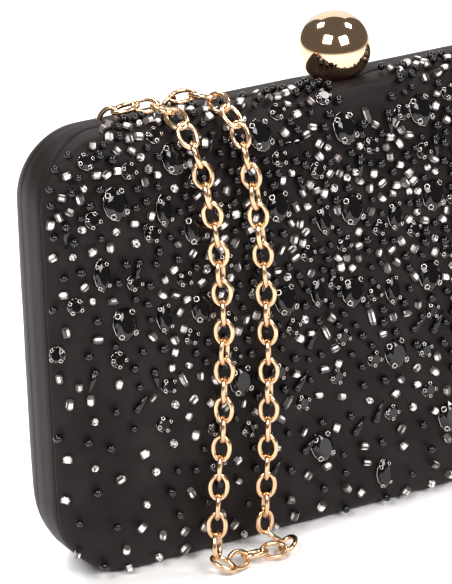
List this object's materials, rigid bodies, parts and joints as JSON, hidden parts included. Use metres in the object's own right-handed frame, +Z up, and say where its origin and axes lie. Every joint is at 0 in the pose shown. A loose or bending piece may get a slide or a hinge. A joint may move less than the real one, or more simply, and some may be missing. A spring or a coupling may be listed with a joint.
{
  "type": "evening bag",
  "caption": "Hard box clutch in two padded halves, hinged along the bottom, with a tilting ball clasp, a beaded front and a chain.",
  "frame": {"origin": "on the surface the bag stands on, under the middle of the plane where the two halves meet", "axes": "+X across the bag towards its right seen from the front, the beaded front faces -Y, +Z up"},
  "size_m": [0.172, 0.0489, 0.1272],
  "materials": {
    "satin": "black satin",
    "wadding": "white wadding",
    "board": "moulded tray",
    "lining": "black lining cloth",
    "gilt": "polished pale gold plating",
    "steel": "bright steel",
    "black_stone": "jet black cut glass"
  },
  "bodies": {
    "front_half": {"front_panel": "satin", "front_side_cover": "satin", "front_padding": "wadding", "front_shell": "board", "front_lining": "lining", "front_frame": "gilt", "front_hinge_leaf": "gilt", "hinge_pin": "steel", "clasp_bracket": "gilt", "clasp_pivot_pin": "steel", "clasp_spring": "steel", "chain_staple_outer": "gilt", "chain_staple_inner": "gilt", "chain": "gilt", "oval_stones": "black_stone", "oval_settings": "steel", "navette_stones": "black_stone", "navette_settings": "steel"},
    "back_half": {"back_cover": "satin", "back_padding": "wadding", "back_shell": "board", "back_lining": "lining", "back_frame": "gilt", "back_hinge_leaf": "gilt", "catch_plate": "gilt"},
    "clasp": {"clasp_ball": "gilt", "clasp_stem": "gilt", "clasp_lever": "gilt"}
  },
  "joints": [
    {"name": "bag_opening", "type": "hinge", "parent": "front_half", "child": "back_half", "pos_m": [0, 0, 0.0013], "axis": [-1, 0, 0], "range_deg": [0, 75]},
    {"name": "clasp_tilt", "type": "hinge", "parent": "front_half", "child": "clasp", "pos_m": [0, 0, 0.098], "axis": [-1, 0, 0], "range_deg": [0, 10], "stiffness_Nm_per_rad": 0.3, "springref_deg": -5.73, "deforming": ["clasp_spring"]}
  ]
}
